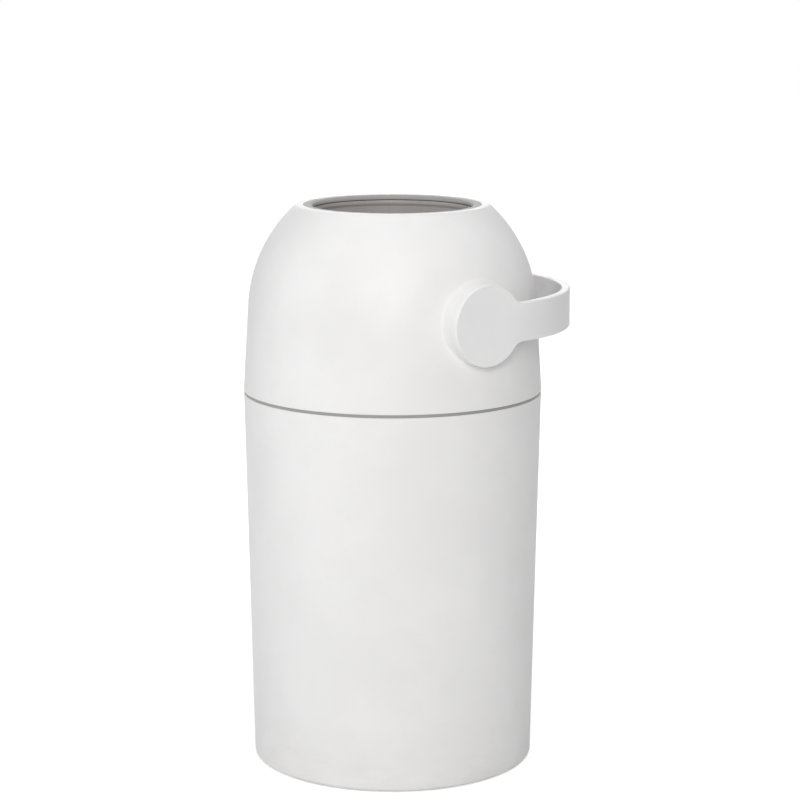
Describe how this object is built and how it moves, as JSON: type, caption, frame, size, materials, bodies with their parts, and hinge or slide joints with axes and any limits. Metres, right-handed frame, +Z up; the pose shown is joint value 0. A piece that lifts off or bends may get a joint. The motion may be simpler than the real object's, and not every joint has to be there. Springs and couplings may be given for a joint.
{
  "type": "nappy bin",
  "caption": "White round nappy bin with a domed lift-off hood, a turning drum worked by a bent side handle, and a sliding piston inside the drum.",
  "frame": {"origin": "middle of the bin's foot, on the floor", "axes": "+Z up the bin; the drum turns about a line along Y; the handle rests towards +X"},
  "size_m": [0.3112, 0.2944, 0.528],
  "materials": {
    "white_plastic": "satin",
    "handle_plastic": "satin",
    "lip_plastic": "satin",
    "band_plastic": "satin",
    "bore_plastic": "satin",
    "bush_plastic": "smooth",
    "foot_rubber": "matte",
    "seal_rubber": "matte",
    "screw_steel": "zinc plated",
    "axle_steel": "turned"
  },
  "bodies": {
    "pail": {"pail": "white_plastic", "foot_ring": "foot_rubber"},
    "bag_ring": {"bag_ring": "band_plastic"},
    "hood": {"hood": "white_plastic", "mouth_ring": "lip_plastic", "upper_seal": "seal_rubber", "drum_housing": "bore_plastic", "lower_seal": "seal_rubber", "hood_seal": "seal_rubber", "housing_screws": "screw_steel", "axle_bush_front": "bush_plastic", "axle_bush_rear": "bush_plastic"},
    "drum": {"drum_front": "bore_plastic", "drum_rear": "bore_plastic", "drum_tube": "bore_plastic", "drum_screws": "screw_steel", "axle_front": "axle_steel", "axle_rear": "axle_steel", "axle_screws": "screw_steel", "handle": "handle_plastic", "thrust_washers": "bush_plastic"},
    "piston": {"piston_body": "lip_plastic", "piston_cap": "lip_plastic", "wiper_rings": "seal_rubber"}
  },
  "joints": [
    {"name": "bag_ring_lift", "type": "slide", "parent": "pail", "child": "bag_ring", "axis": [0, 0, 1], "range_m": [0, 0.06]},
    {"name": "hood_lift", "type": "slide", "parent": "bag_ring", "child": "hood", "axis": [0, 0, 1], "range_m": [0, 0.2]},
    {"name": "handle_flip", "type": "hinge", "parent": "hood", "child": "drum", "pos_m": [0, 0, 0.4314], "axis": [0, -1, 0], "range_deg": [0, 180]},
    {"name": "piston_drop", "type": "slide", "parent": "drum", "child": "piston", "axis": [0, 0, 1], "range_m": [0, 0.123]}
  ]
}
